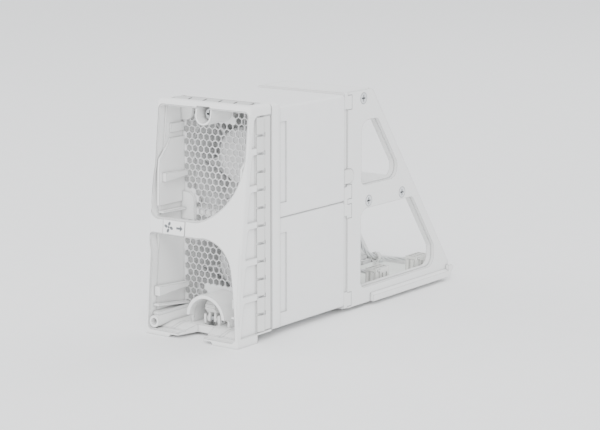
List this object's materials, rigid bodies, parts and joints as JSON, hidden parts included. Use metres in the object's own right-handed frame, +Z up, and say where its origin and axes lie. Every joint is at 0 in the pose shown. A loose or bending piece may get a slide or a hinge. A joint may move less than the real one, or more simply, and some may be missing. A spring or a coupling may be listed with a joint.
{
  "type": "fan module",
  "caption": "Upright hot-swap cooling module with stacked counter-rotating fans, a slanted honeycomb exhaust hood, and a sloping rear carrier with plug-in headers.",
  "frame": {"origin": "middle of the module's base, at the level of the hood's foot", "axes": "+X to the right seen from the exhaust side, +Y towards the connectors, +Z up; air leaves towards -Y"},
  "size_m": [0.086, 0.283, 0.1696],
  "materials": {
    "hood_plastic": "fine moulded texture",
    "carrier_plastic": "fine moulded texture",
    "fan_plastic": "glass-filled, satin",
    "impeller_plastic": "satin",
    "latch_plastic": "satin",
    "grommet_rubber": "matte",
    "label_film": "printed film with a fan and arrow pictogram",
    "grille_steel": "powder coated",
    "contact_steel": "bright rolled spring steel",
    "zinc_screw": "bright zinc plated",
    "spring_steel": "drawn wire",
    "magnet_ferrite": "pressed ferrite",
    "ground_steel": "ground",
    "core_steel": "stacked laminations",
    "copper_wire": "enamelled wire",
    "circuit_board": "solder mask",
    "header_plastic": "moulded nylon",
    "contact_pins": "plated",
    "lead_sleeve": "sleeved"
  },
  "bodies": {
    "root": {"base_tray": "carrier_plastic", "board_screws": "zinc_screw", "bottom_finger_strips": "contact_steel", "bracket_screws": "zinc_screw", "captive_screw_spring": "spring_steel", "controller_board": "circuit_board", "exhaust_grille": "grille_steel", "fan_front_screws": "zinc_screw", "fan_label": "label_film", "fan_rear_screws": "zinc_screw", "foot_screws": "zinc_screw", "front_frame": "hood_plastic", "front_header": "header_plastic", "front_hood": "hood_plastic", "header_pins": "contact_pins", "hood_screws": "zinc_screw", "latch_pin": "spring_steel", "latch_spring": "spring_steel", "lead_clip": "latch_plastic", "lead_grommet": "grommet_rubber", "left_finger_strip": "contact_steel", "left_side_plate": "carrier_plastic", "lower_bearings": "ground_steel", "lower_fan_housing": "fan_plastic", "lower_fan_lead": "lead_sleeve", "lower_motor_boards": "circuit_board", "lower_stator_cores": "core_steel", "lower_windings": "copper_wire", "mid_shelf": "carrier_plastic", "rear_frame": "carrier_plastic", "rear_header": "header_plastic", "right_finger_strip": "contact_steel", "right_side_plate": "carrier_plastic", "top_finger_strip": "contact_steel", "top_plate": "carrier_plastic", "upper_bearings": "ground_steel", "upper_fan_housing": "fan_plastic", "upper_fan_lead": "lead_sleeve", "upper_motor_boards": "circuit_board", "upper_stator_cores": "core_steel", "upper_windings": "copper_wire"},
    "upper_front_rotor": {"upper_front_impeller": "impeller_plastic", "upper_front_magnet": "magnet_ferrite", "upper_front_shaft": "ground_steel"},
    "upper_rear_rotor": {"upper_rear_impeller": "impeller_plastic", "upper_rear_magnet": "magnet_ferrite", "upper_rear_shaft": "ground_steel"},
    "lower_front_rotor": {"lower_front_impeller": "impeller_plastic", "lower_front_magnet": "magnet_ferrite", "lower_front_shaft": "ground_steel"},
    "lower_rear_rotor": {"lower_rear_impeller": "impeller_plastic", "lower_rear_magnet": "magnet_ferrite", "lower_rear_shaft": "ground_steel"},
    "captive_clip": {"captive_screw_clip": "spring_steel"},
    "captive_screw": {"captive_screw": "zinc_screw"},
    "release_latch": {"release_latch": "latch_plastic"}
  },
  "joints": [
    {"name": "upper_front_rotor_spin", "type": "hinge", "parent": "root", "child": "upper_front_rotor", "pos_m": [0, -0.0485, 0.125], "axis": [0, 1, 0], "continuous": true},
    {"name": "upper_rear_rotor_spin", "type": "hinge", "parent": "root", "child": "upper_rear_rotor", "pos_m": [0, -0.0485, 0.125], "axis": [0, -1, 0], "continuous": true},
    {"name": "lower_front_rotor_spin", "type": "hinge", "parent": "root", "child": "lower_front_rotor", "pos_m": [0, -0.0485, 0.045], "axis": [0, 1, 0], "continuous": true},
    {"name": "lower_rear_rotor_spin", "type": "hinge", "parent": "root", "child": "lower_rear_rotor", "pos_m": [0, -0.0485, 0.045], "axis": [0, -1, 0], "continuous": true},
    {"name": "captive_screw_travel", "type": "slide", "parent": "root", "child": "captive_clip", "axis": [0, -1, 0], "range_m": [0, 0.0041], "deforming": ["captive_screw_spring"]},
    {"name": "captive_screw_turn", "type": "hinge", "parent": "captive_clip", "child": "captive_screw", "pos_m": [0, -0.1175, 0.1599], "axis": [0, -1, 0], "range_deg": [0, 2057]},
    {"name": "release_latch_pivot", "type": "hinge", "parent": "root", "child": "release_latch", "pos_m": [0, -0.1135, 0.0112], "axis": [1, 0, 0], "range_deg": [0, 15], "stiffness_Nm_per_rad": 0.05, "deforming": ["latch_spring"]}
  ],
  "couplings": [
    {"joint": "captive_screw_travel", "follows": "captive_screw_turn", "m_per_rad": 0.00011141}
  ]
}
